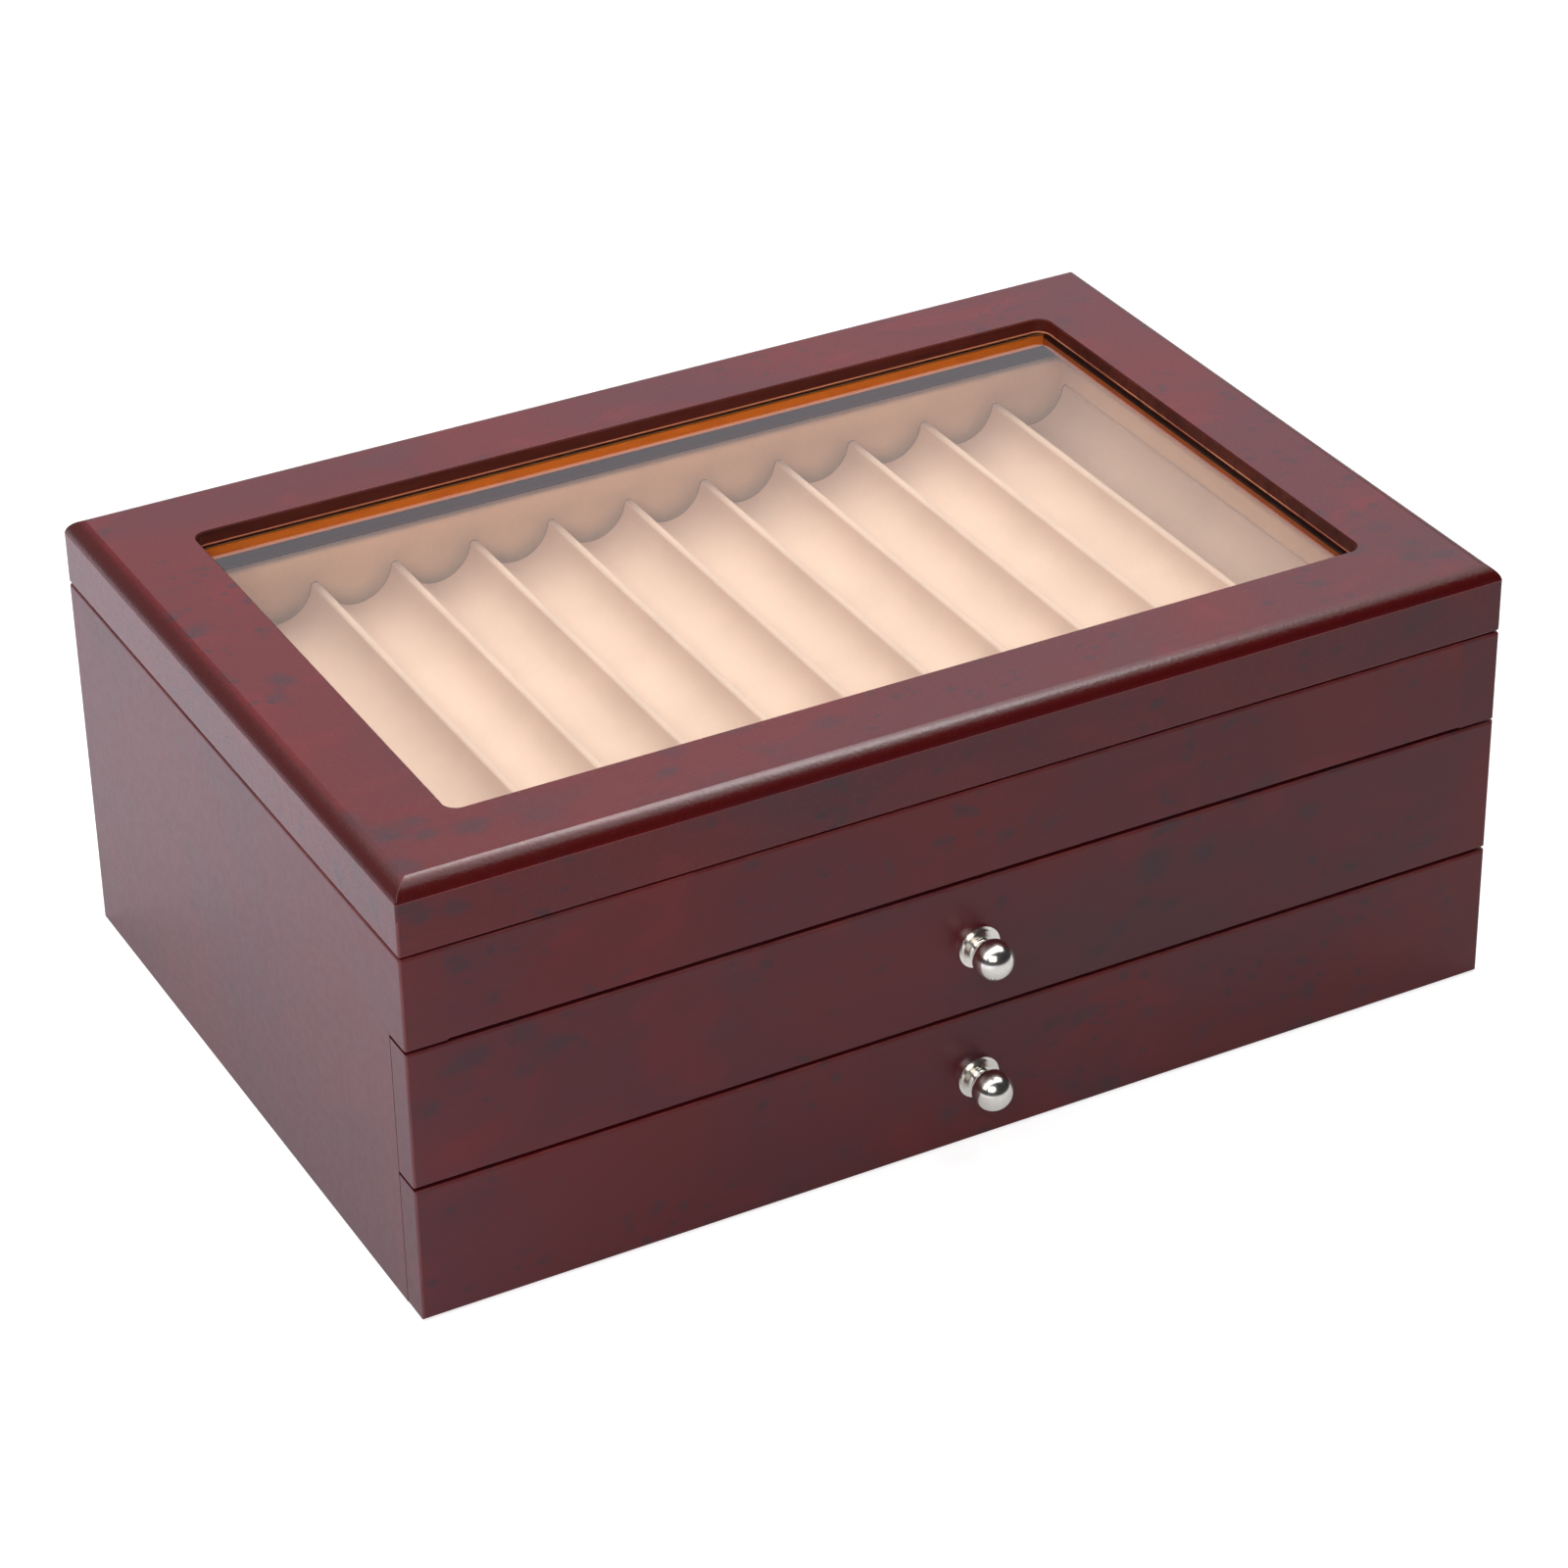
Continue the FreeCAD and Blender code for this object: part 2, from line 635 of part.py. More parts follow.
def drawer_front(name, bottom, top, knob_height, groove, panel_low, panel_high):
    """A drawer front with a groove for the bottom and a counterbored hole for the knob."""
    body = new_body(f"{name}_drawer_front", ("0", front_plane, "0"))
    outline = new_sketch(body, "outline", "XZ_Plane")
    add_rectangle(outline, (minus(half_width), bottom), (half_width, top))
    pad(body, outline, size("front_thickness"), back=True)

    def face_edge(edge):
        return lies_at(edge, y=0)

    round_edges(body, size("edge_round"), face_edge)

    rear = minus(size("front_thickness"))
    slot = new_sketch(body, "groove", "XZ_Plane", rear)
    add_rectangle(slot, (minus(groove), panel_low), (groove, panel_high))
    pocket(body, slot, size("drawer_groove"), back=True)
    hole = new_sketch(body, "hole", "XZ_Plane")
    add_circle(hole, "0", knob_height, total(size("knob_screw_radius"), size("screw_play")))
    pocket(body, hole)
    bore = new_sketch(body, "counterbore", "XZ_Plane", rear)
    add_circle(bore, "0", knob_height, total(size("screw_head_radius"), size("counterbore_play")))
    pocket(body, bore, counterbore_depth(), back=True)


def counterbore_depth():
    """The head sits in the counterbore with the same gap over it as round it."""
    return total(size("screw_head_height"), size("counterbore_play"))


def spin(body, sketch):
    """Turn a half profile about the sketch's horizontal axis."""
    feature = body.newObject("PartDesign::Revolution", f"{sketch.Name}_spin")
    feature.Profile = sketch
    feature.ReferenceAxis = (sketch, ["H_Axis"])
    feature.Angle = 360
    doc.recompute()
    return feature


def knob(label, height):
    """A turned knob: a stepped flange, a hollow neck and a ball, bored for its screw."""
    body = new_body(label, ("0", front_plane, height))
    sketch = new_sketch(body, "profile", "YZ_Plane")
    bore = total(size("knob_screw_radius"), size("screw_play"))
    bore_end = minus(total(size("knob_screw_grip"), size("screw_play")))
    rim = minus(size("flange_rim"))
    collar = less(rim, size("collar_rim"))
    sweep_edge = total(size("neck_radius"), size("neck_sweep"))
    neck_start = less(collar, size("neck_sweep"))
    ball_x = minus(size("ball_reach"))
    ball_run = f"sqrt({size('ball_radius')} ^ 2 - {size('neck_radius')} ^ 2)"
    ball_start = total(ball_x, ball_run)
    ball_end = less(ball_x, size("ball_radius"))

    corners = [
        ("0", bore), ("0", size("flange_radius")), (rim, size("flange_radius")),
        (rim, size("collar_radius")), (collar, size("collar_radius")), (collar, sweep_edge),
        (neck_start, size("neck_radius")), (ball_start, size("neck_radius")),
        (ball_end, "0"), (bore_end, "0"), (bore_end, bore),
    ]
    points = [FreeCAD.Vector(number(across), number(up), 0) for across, up in corners]
    hollow_centre = FreeCAD.Vector(number(neck_start), number(sweep_edge), 0)
    ball_centre = FreeCAD.Vector(number(ball_x), 0, 0)
    hollow, ball = 5, 7
    for index, point in enumerate(points):
        following = points[(index + 1) % len(points)]
        if index == hollow:
            curve = arc_between(hollow_centre, following, point)
        elif index == ball:
            curve = arc_between(ball_centre, point, following)
        else:
            curve = Part.LineSegment(point, following)
        sketch.addGeometry(curve, False)

    def start(index):
        return 2 if index == hollow else 1

    def end(index):
        return 1 if index == hollow else 2

    for index in range(len(points)):
        following = (index + 1) % len(points)
        sketch.addConstraint(
            Sketcher.Constraint("Coincident", index, end(index), following, start(following))
        )
    for index in (0, 1, 2, 3, 4, 5, 9, 10):
        fix_point(sketch, index, start(index), *corners[index])
    fix_point(sketch, hollow, 3, neck_start, sweep_edge)
    fix_point(sketch, 6, 1, across=neck_start)
    fix_point(sketch, ball, 3, ball_x, "0")
    bind(sketch, Sketcher.Constraint("Radius", ball, number(size("ball_radius"))), size("ball_radius"))
    fix_point(sketch, ball, 1, up=size("neck_radius"))
    fix_point(sketch, 8, 1, up="0")
    spin(body, sketch)


def arc_between(centre, first, last):
    """The arc about a centre that runs anticlockwise from one point to another."""
    radius = (first - centre).Length
    circle = Part.Circle(centre, FreeCAD.Vector(0, 0, 1), radius)
    return Part.ArcOfCircle(circle, circle.parameter(first), circle.parameter(last))


def knob_screw(label, height):
    """The machine screw that holds a knob, with its head in the counterbore."""
    seat = less(size("front_thickness"), counterbore_depth())
    body = new_body(label, ("0", total(front_plane, seat), height))
    sketch = new_sketch(body, "profile", "YZ_Plane")
    tip = minus(total(seat, size("knob_screw_grip")))
    add_outline(sketch, [
        (tip, "0"),
        (size("screw_head_height"), "0"),
        (size("screw_head_height"), size("screw_head_radius")),
        ("0", size("screw_head_radius")),
        ("0", size("knob_screw_radius")),
        (tip, size("knob_screw_radius")),
    ])
    spin(body, sketch)


# ---------------------------------------------------------------- hinges

def hinge_leaf(label, hand, on_lid):
    """A leaf with its knuckles, drawn about the hinge's axis; the lid's leaf lies above it."""
    middle = hinge_x if hand > 0 else minus(hinge_x)
    body = new_body(label, (middle, hinge_y, hinge_z))
    near = half(size("leaf_gap"))
    far = total(near, size("leaf_thickness"))
    low, high = (near, far) if on_lid else (minus(far), minus(near))
    plate = new_sketch(body, "plate", "YZ_Plane")
    add_rectangle(plate, (minus(total(hinge_reach, size("leaf_depth"))), low), ("0", high))
    pad(body, plate, size("hinge_length"), both=True)
    barrel = new_sketch(body, "barrel", "YZ_Plane")
    add_circle(barrel, "0", "0", size("knuckle_radius"))
    pad(body, barrel, size("hinge_length"), both=True)
    if not on_lid:
        tail = new_sketch(body, "tail", "YZ_Plane")
        add_outline(tail, tail_corners())
        pad(body, tail, size("hinge_length"), both=True)

    notch = new_sketch(body, "notch", "XY_Plane")
    beyond = size("hinge_length")
    if on_lid:
        edge = half(size("lid_knuckle"))
        add_rectangle(notch, (edge, minus(hinge_reach)), (beyond, hinge_reach))
        add_rectangle(notch, (minus(beyond), minus(hinge_reach)), (minus(edge), hinge_reach))
    else:
        edge = total(half(size("lid_knuckle")), size("knuckle_gap"))
        add_rectangle(notch, (minus(edge), minus(hinge_reach)), (edge, beyond))
    pocket(body, notch, both=True)

    bore = new_sketch(body, "bore", "YZ_Plane")
    add_circle(bore, "0", "0", total(size("pin_radius"), size("pin_play")))
    pocket(body, bore, both=True)

    holes = new_sketch(body, "holes", "XY_Plane")
    sinks = new_sketch(body, "sinks", "XY_Plane", low if on_lid else high)
    across = less(minus(hinge_reach), half(size("leaf_depth")))
    for place in screw_offsets():
        add_circle(holes, place, across, total(size("hinge_screw_radius"), size("screw_play")))
        add_circle(sinks, place, across, total(size("hinge_screw_head"), size("screw_play")))
    pocket(body, holes, both=True)
    cut = pocket(body, sinks, size("hinge_screw_sink"), back=on_lid)
    cut.setExpression("TaperAngle", minus(sink_angle()))
    doc.recompute()


def tail_corners():
    """The tail's section: a strip that leaves the barrel's top at the angle of the open lid."""
    inner = less(size("knuckle_radius"), size("tail_thickness"))
    corners = []
    for along, out in (
        ("0", inner),
        (size("tail_reach"), inner),
        (size("tail_reach"), size("knuckle_radius")),
        ("0", size("knuckle_radius")),
    ):
        turn = size("lid_stop")
        across = f"({along} * sin({turn}) - {out} * cos({turn}))"
        up = f"({along} * cos({turn}) + {out} * sin({turn}))"
        corners.append((across, up))
    return corners


def sink_angle():
    """The slope of a countersunk head, from its axis."""
    narrowing = less(size("hinge_screw_head"), size("hinge_screw_radius"))
    return f"atan({narrowing} / {size('hinge_screw_sink')})"


def hinge_pin(label, hand):
    """The pin through the knuckles of one hinge."""
    body = new_body(label, (hinge_x if hand > 0 else minus(hinge_x), hinge_y, hinge_z))
    circle = new_sketch(body, "circle", "YZ_Plane")
    add_circle(circle, "0", "0", size("pin_radius"))
    pad(body, circle, size("hinge_length"), both=True)


def hinge_screws(label, on_lid):
    """The countersunk screws of both hinges in the case or in the lid, as one group."""
    near = half(size("leaf_gap"))
    head = total(hinge_z, near) if on_lid else less(hinge_z, near)
    body = new_body(label, ("0", screw_y, head))
    sketch = new_sketch(body, "profile", "XZ_Plane")
    into = 1 if on_lid else -1
    sink = f"({into} * {size('hinge_screw_sink')})"
    tip = f"({into} * {size('hinge_screw_length')})"
    first = total(hinge_x, screw_offsets()[0])
    add_outline(sketch, [
        (first, "0"),
        (total(first, size("hinge_screw_head")), "0"),
        (total(first, size("hinge_screw_radius")), sink),
        (total(first, size("hinge_screw_radius")), tip),
        (first, tip),
    ])
    axis = 4  # the outline's last line, from the tip back to the head
    screw = body.newObject("PartDesign::Revolution", f"{label}_screw")
    screw.Profile = sketch
    screw.ReferenceAxis = (sketch, [f"Edge{axis + 1}"])
    screw.Angle = 360
    doc.recompute()

    row = doc.addObject("PartDesign::LinearPattern", f"{label}_row")
    row.Direction = (sketch, ["H_Axis"])
    row.setExpression("Length", f"({HINGE_SCREWS - 1} * dims.hinge_screw_pitch)")
    row.Occurrences = HINGE_SCREWS
    mirror = doc.addObject("PartDesign::Mirrored", f"{label}_mirror")
    mirror.MirrorPlane = (sketch, ["V_Axis"])
    group = body.newObject("PartDesign::MultiTransform", f"{label}_group")
    group.Originals = [screw]
    group.Transformations = [row, mirror]
    body.Tip = group
    doc.recompute()


def hinges():
    """Two butt hinges at the back, with their pins and screws."""
    for hand, side in ((-1, "left"), (1, "right")):
        hinge_leaf(f"{side}_hinge_case_leaf", hand, on_lid=False)
        hinge_leaf(f"{side}_hinge_lid_leaf", hand, on_lid=True)
        hinge_pin(f"{side}_hinge_pin", hand)
    hinge_screws("hinge_case_screws", on_lid=False)
    hinge_screws("hinge_lid_screws", on_lid=True)


# ---------------------------------------------------------------- assembly

case_side("left_side", -1)
case_side("right_side", 1)
case_back()
case_apron()
case_boards()
tray_liners()
display_tray()
lid_panel()
lid_rails()
lid_glass()
drawer(
    "upper",
    floor=divider_top,
    ceiling=tray_floor_bottom,
    front_bottom=upper_front_bottom,
    front_top=upper_front_top,
)
drawer(
    "lower",
    floor=size("base_thickness"),
    ceiling=divider_bottom,
    front_bottom=size("floor_clearance"),
    front_top=lower_front_top,
)
hinges()

doc.recompute()
for item in doc.Objects:
    if "Invalid" in item.State or "Error" in item.State:
        raise RuntimeError(f"{item.Label} did not compute")
for part in parts:
    if part.Shape.isNull() or not part.Shape.isValid() or not part.Shape.Solids:
        raise RuntimeError(f"{part.Label} has no sound shape")

os.makedirs("parts", exist_ok=True)
for part in parts:
    part.Shape.exportStep(f"parts/{part.Label}.step")
print(f"{len(parts)} sub-parts written")
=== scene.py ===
"""The looks of the pen chest, in metres.

The solids come from the frame, and each one gets a finish here. The script shapes one piece of its
own, the lid's top panel with its moulded rim, and sets up a plain studio round the chest. The
finishes have their colours as sRGB values of 0 to 255, while the glass, floor, room and lights have
linear ones of 0 to 1.
"""

import math

import bmesh
import bpy
from mathutils import Matrix, Vector

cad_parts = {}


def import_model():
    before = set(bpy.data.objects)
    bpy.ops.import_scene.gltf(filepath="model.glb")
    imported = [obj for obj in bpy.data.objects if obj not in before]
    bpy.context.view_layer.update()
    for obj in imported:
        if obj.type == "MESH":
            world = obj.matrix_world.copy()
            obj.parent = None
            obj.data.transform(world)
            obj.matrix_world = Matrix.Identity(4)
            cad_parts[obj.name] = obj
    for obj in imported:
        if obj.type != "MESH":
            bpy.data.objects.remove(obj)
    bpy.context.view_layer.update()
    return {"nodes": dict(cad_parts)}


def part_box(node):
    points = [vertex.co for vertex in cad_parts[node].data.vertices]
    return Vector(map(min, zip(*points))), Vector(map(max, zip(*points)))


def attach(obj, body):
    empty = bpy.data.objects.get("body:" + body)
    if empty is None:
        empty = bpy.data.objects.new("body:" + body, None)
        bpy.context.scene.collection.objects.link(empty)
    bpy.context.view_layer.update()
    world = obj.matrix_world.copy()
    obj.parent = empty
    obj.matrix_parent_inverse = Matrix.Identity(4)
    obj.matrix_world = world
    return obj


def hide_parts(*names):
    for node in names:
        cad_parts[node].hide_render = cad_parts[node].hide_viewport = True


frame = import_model()
nodes = frame["nodes"]

ORIGIN = (0, 0, 0)
WHITE = (1, 1, 1, 1)
DRAWERS = ("upper", "lower")
SIDES = ("left", "right")
ENDS = ("front", "back")


# ------------------------------------------------------------------ material building blocks

class Tree:
    """The node tree of a material or world, with short calls for what the finishes share."""

    def __init__(self, owner, output="OutputMaterial"):
        owner.use_nodes = True
        self.owner = owner
        self.tree = owner.node_tree
        self.tree.nodes.clear()
        self.output = self.node(output)

    def node(self, kind, inputs=None, **settings):
        made = self.tree.nodes.new("ShaderNode" + kind)
        for key, value in settings.items():
            setattr(made, key, value)
        for key, value in (inputs or {}).items():
            self.feed(made.inputs[key], value)
        return made

    def feed(self, socket, value):
        if isinstance(value, bpy.types.NodeSocket):
            self.tree.links.new(value, socket)
        else:
            socket.default_value = value

    def place(self, location=ORIGIN, scale=(1, 1, 1)):
        """Object coordinates, moved and stretched."""
        where = self.node("TexCoord").outputs["Object"]
        return self.node("Mapping", {
            "Vector": where, "Location": location, "Scale": scale,
        }).outputs["Vector"]

    def axis(self, name, vector=None):
        """One coordinate of a vector, or of the object's own place."""
        return self.node("SeparateXYZ", {0: vector or self.place()}).outputs[name]

    def noise(self, vector, scale, detail=2.0, roughness=0.5, distortion=0.0):
        return self.node("TexNoise", {
            "Vector": vector, "Scale": scale, "Detail": detail,
            "Roughness": roughness, "Distortion": distortion,
        }).outputs["Fac"]

    def warp(self, vector, scale, amount):
        """The coordinates pushed about by a noise, so that round cells turn irregular."""
        mean = (0.5, 0.5, 0.5)
        push = self.node("TexNoise", {"Vector": vector, "Scale": scale, "Detail": 2.0}).outputs["Color"]
        even = self.node("VectorMath", {0: push, 1: mean}, operation="SUBTRACT").outputs[0]
        small = self.node("VectorMath", {0: even, "Scale": amount}, operation="SCALE").outputs[0]
        return self.node("VectorMath", {0: vector, 1: small}, operation="ADD").outputs[0]

    def cells(self, vector, scale):
        return self.node("TexVoronoi", {
            "Vector": vector, "Scale": scale,
        }, feature="SMOOTH_F1").outputs["Distance"]

    def edges(self):
        """1 where a rounded edge faces none of the six sides, and 0 on the flat faces."""
        normal = self.node("TexCoord").outputs["Normal"]
        x, y, z = [self.math("ABSOLUTE", self.axis(axis, normal)) for axis in "XYZ"]
        flat = self.math("MAXIMUM", x, self.math("MAXIMUM", y, z))
        return self.fade(flat, low=0.985, high=0.85)

    def fade(self, value, low, high, start=0.0, end=1.0):
        """A smooth step from start to end, while the value goes from low to high."""
        return self.node("MapRange", {
            "Value": value, "From Min": low, "From Max": high, "To Min": start, "To Max": end,
        }, interpolation_type="SMOOTHSTEP").outputs["Result"]

    def math(self, operation, first, second=0.0, third=0.0):
        return self.node("Math", {0: first, 1: second, 2: third}, operation=operation).outputs[0]

    def both(self, first, second):
        return self.math("MULTIPLY", first, second)

    def mix(self, factor, first, second):
        """The first colour, turned into the second by the factor.

        The node repeats its sockets for each kind of data. These are the ones that mix colours.
        """
        factor_socket, first_colour, second_colour, colour_out = 0, 6, 7, 2
        return self.node("Mix", {
            factor_socket: factor, first_colour: first, second_colour: second,
        }, data_type="RGBA").outputs[colour_out]

    def bump(self, height, strength, distance):
        return self.node("Bump", {
            "Height": height, "Strength": strength, "Distance": distance,
        }).outputs["Normal"]

    def surface(self, shader):
        self.tree.links.new(shader.outputs[0], self.output.inputs[0])
        return self.owner

    def principled(self, **inputs):
        """The material itself, with a Principled shader that has these inputs."""
        names = {key.replace("_", " "): value for key, value in inputs.items()}
        return self.surface(self.node("BsdfPrincipled", names))


def material(name):
    return Tree(bpy.data.materials.new(name))


def colour(tone, strength=1.0):
    """Linear colour from an sRGB tone, dimmed by a strength."""
    def linear(value):
        value *= strength / 255
        return value / 12.92 if value < 0.04045 else ((value + 0.055) / 1.055) ** 2.4
    return tuple(linear(value) for value in tone) + (1.0,)


def dress(finish, *names):
    """Give CAD nodes a material of their own."""
    for name in names:
        piece = nodes[name]
        if not piece.data.materials:
            piece.data.materials.append(None)
        for slot in piece.material_slots:
            slot.link = "OBJECT"
            slot.material = finish


# ------------------------------------------------------------------ finishes

RED_GROUND = (92, 15, 21)
RED_SHADE = (82, 20, 28)
RED_SWIRL = (112, 19, 24)
GREY_CLOUD = (66, 32, 38)
DARK_EYE = (48, 32, 42)
DARK_SPECK = (44, 28, 38)
DEEP_RIM = (68, 7, 7)
# Painted highlight on the rounded edges, in patches like rubbed lacquer.
EDGE_HIGHLIGHT = (150, 90, 84)

# How strongly each part of the burl's figure covers the ground.
SWIRLS, CLOUDS, EYES, SPECKS = 0.4, 0.5, 0.6, 0.55

# The figure is drawn out along a board, in X.
FIGURE = (0.6, 1.0, 1.0)
EYE_FIGURE = (0.75, 1.0, 1.0)


def burl_veneer(t, board, burl):
    """The figure of burl veneer: red ground, swirls, broad clouds, and groups of eyes and specks."""
    where = t.place(board)
    along = t.place(board, FIGURE)
    bent = t.warp(t.place(board, EYE_FIGURE), scale=60, amount=0.012)

    broad = t.noise(where, scale=11, distortion=0.6)
    red = t.mix(t.fade(broad, low=0.38, high=0.64), colour(RED_GROUND), colour(RED_SHADE))
    swirl = t.noise(along, scale=34, detail=3, roughness=0.55, distortion=1.6)
    red = t.mix(t.both(t.fade(swirl, low=0.5, high=0.72), SWIRLS * burl), red, colour(RED_SWIRL))
    cloud = t.noise(along, scale=19, detail=3, roughness=0.6, distortion=0.8)
    red = t.mix(t.both(t.fade(cloud, low=0.5, high=0.72), CLOUDS * burl), red, colour(GREY_CLOUD))

    eyes = t.fade(t.cells(bent, scale=92), low=0.38, high=0.08)
    groups = t.fade(t.noise(along, scale=17, detail=1, roughness=0.4), low=0.52, high=0.62)
    red = t.mix(t.both(t.both(eyes, groups), EYES * burl), red, colour(DARK_EYE))
    specks = t.fade(t.cells(bent, scale=210), low=0.34, high=0.10)
    patches = t.fade(t.noise(where, scale=31, detail=1, roughness=0.4), low=0.50, high=0.60)
    return t.mix(t.both(t.both(specks, patches), SPECKS * burl), red, colour(DARK_SPECK))


# The edges' painted highlight is patchy; where faintest it keeps this share of its strength.
LEAST_EDGE_HIGHLIGHT = 0.4
SATIN_SPREAD = 0.02

# The lacquer's orange peel is faint on the flats, with an extra share on the edges.
FLAT_PEEL, EDGE_PEEL = 0.03, 0.12


def lacquer(name, board, burl=1.0, edge_highlight=0.3, rim=0.0, satin=0.34):
    """Dark red burl veneer under a satin lacquer. Each board takes its own part of the burl.

    Burl is the strength of the figure, edge_highlight that of a painted highlight on the rounded
    edges, laid in patches like rubbed lacquer, rim how deep the red is on them, and satin the roughness
    of the lacquer.
    """
    t = material(name)
    where = t.place(board)
    red = burl_veneer(t, board, burl)
    edges = t.edges()
    red = t.mix(t.both(edges, rim), red, colour(DEEP_RIM))
    # Painted highlight: the rounded edges turn lighter, in patches like rubbed lacquer.
    highlight_patches = t.noise(where, scale=70, detail=3, roughness=0.6)
    wear_and_highlight = t.fade(highlight_patches, low=0.35, high=0.65, start=LEAST_EDGE_HIGHLIGHT * edge_highlight, end=edge_highlight)
    red = t.mix(t.both(edges, wear_and_highlight), red, colour(EDGE_HIGHLIGHT))
    grain = t.noise(where, scale=420, detail=3, roughness=0.6)
    peel = t.noise(where, scale=900)
    depth = t.math("MULTIPLY_ADD", edges, EDGE_PEEL, FLAT_PEEL)
    return t.principled(
        Base_Color=red,
        Roughness=t.fade(grain, low=0.3, high=0.7, start=satin - SATIN_SPREAD, end=satin + SATIN_SPREAD),
        IOR=1.45,
        Normal=t.bump(peel, strength=depth, distance=0.0004),
    )


# A place in Y past all of the felt, for an insert whose felt gets no painted shade at its end.
NOWHERE = 9.0
GAP_SHADE = (120, 92, 88)
GAP_SHADE_BLEND = 0.0003


def felt(name, tint, shift=ORIGIN, shade_from=NOWHERE):
    """Short flocked pile: fine speckle and soft clouds. Past shade_from, in Y, painted shade darkens it.
    """
    t = material(name)
    where = t.place(shift)
    cloud = t.noise(where, scale=30, detail=3, roughness=0.6)
    pile = t.noise(where, scale=1800, roughness=0.7)
    base = t.mix(t.fade(cloud, low=0.3, high=0.7), colour(tint), colour(tint, strength=0.965))
    base = t.mix(t.fade(pile, low=0.35, high=0.65, end=0.16), base, colour(tint, strength=0.8))
    # Painted shade at the insert's rear end, for the shadow in the gap before the case's back.
    gap_shade = t.fade(t.axis("Y"), low=shade_from - GAP_SHADE_BLEND, high=shade_from, end=0.6)
    base = t.mix(gap_shade, base, colour(GAP_SHADE))
    return t.principled(
        Base_Color=base,
        Roughness=0.92,
        Specular_IOR_Level=0.15,
        Sheen_Weight=0.2,
        Sheen_Roughness=0.5,
        Normal=t.bump(pile, strength=0.2, distance=0.0003),
    )


def stained(name, dark, light, along, shift=ORIGIN, shine=0.5):
    """Stained board with straight grain along X, Y or Z."""
    t = material(name)
    drawn_out = 0.06
    grain = t.place(shift, tuple(drawn_out if axis == along else 1.0 for axis in "XYZ"))
    lines = t.noise(grain, scale=240, detail=4, roughness=0.6, distortion=0.4)
    broad = t.noise(grain, scale=40)
    base = t.mix(t.fade(broad, low=0.35, high=0.65), colour(dark), colour(light))
    base = t.mix(t.fade(lines, low=0.45, high=0.75, end=0.55), base, colour(dark, strength=0.6))
    return t.principled(
        Base_Color=base,
        Roughness=t.fade(lines, low=0.3, high=0.7, start=0.42, end=0.58),
        Specular_IOR_Level=shine,
        Normal=t.bump(lines, strength=0.12, distance=0.0003),
    )


def metal(name, tone, roughness, scratch):
    """Bare metal with fine wear."""
    t = material(name)
    wear_and_highlight = t.noise(t.place(), scale=700, detail=4, roughness=0.6)
    dulled = t.fade(wear_and_highlight, low=0.4, high=0.8, end=0.25)
    return t.principled(
        Base_Color=t.mix(dulled, colour(tone), colour(tone, strength=0.8)),
        Metallic=1.0,
        Roughness=t.fade(wear_and_highlight, low=0.3, high=0.8, start=roughness, end=roughness + scratch),
    )


STRIP_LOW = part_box("glass_retainer_front")[0][2]
STRIP_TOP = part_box("glass_retainer_front")[1][2]
# The strip's painted highlights, and its painted shade where the window's edge shades it.
STRIP_LOWER_HIGHLIGHT = (230, 160, 110)
STRIP_HIGHLIGHT = (236, 180, 130)
STRIP_SHADE = (24, 8, 6)

# Where each painted line starts and ends, measured from the place that it follows.
LOWER_LINE = (0.0005, 0.0002)
UPPER_BLEND = (-0.0002, 0.0001)
HIGHLIGHT_BLEND = (-0.0008, -0.0005)
SHADE_BLEND = (-0.0002, 0.0)


def amber(name, light, deep, axis, inner, dark_below, dark_past):
    """The lacquered strip under the glass, whose inner face lies at inner on an axis.

    It has painted shade from dark_below under its top and from dark_past behind its inner face, with a
    painted highlight line on the way there and another along its lower edge.
    """
    t = material(name)

    def line(value, follows, blend, end=1.0):
        return t.fade(value, low=follows + blend[0], high=follows + blend[1], end=end)

    lines = t.noise(t.place(ORIGIN, (0.3, 0.3, 1)), scale=260, detail=3)
    base = t.mix(t.fade(lines, low=0.4, high=0.7, end=0.3), colour(light), colour(deep))
    height = t.axis("Z")
    past = t.math("SUBTRACT", t.math("ABSOLUTE", t.axis(axis)), inner)
    # A painted highlight along the strip's lower edge.
    lower_highlight = line(height, STRIP_LOW, LOWER_LINE, end=0.45)
    base = t.mix(lower_highlight, base, colour(STRIP_LOWER_HIGHLIGHT))
    # Near the top, a painted highlight line where the light catches the strip's edge.
    above = line(height, STRIP_TOP - dark_below, UPPER_BLEND)
    edge_highlight = line(past, dark_past, HIGHLIGHT_BLEND, end=0.8)
    base = t.mix(t.both(above, edge_highlight), base, colour(STRIP_HIGHLIGHT))
    # Painted shade: near black where the window's edge shades the strip.
    dark = line(past, dark_past, SHADE_BLEND)
    base = t.mix(t.both(above, dark), base, colour(STRIP_SHADE))
    return t.principled(Base_Color=base, Roughness=0.6, Specular_IOR_Level=0.2)


GLASS_TINT = (0.965, 0.975, 0.97, 1)
BOTH_FACES = 1.4


def glass(name):
    """Clear float glass that lets the lights through to the felt.

    Rays reflect only where they come in from outside the pane, and more strongly than off a single
    face, because the pane has a second one.
    """
    t = material(name)
    smear = t.noise(t.place(), scale=14, detail=3)
    clear = t.node("BsdfTransparent", {"Color": GLASS_TINT})
    gloss = t.node("BsdfGlossy", {
        "Color": WHITE, "Roughness": t.fade(smear, low=0.4, high=0.7, start=0.01, end=0.03),
    })
    outside = t.math("SUBTRACT", 1.0, t.node("NewGeometry").outputs["Backfacing"])
    bounced = t.node("Fresnel", {"IOR": 1.5}).outputs[0]
    shine = t.both(bounced, t.both(outside, BOTH_FACES))
    return t.surface(t.node("MixShader", {0: shine, 1: clear.outputs[0], 2: gloss.outputs[0]}))


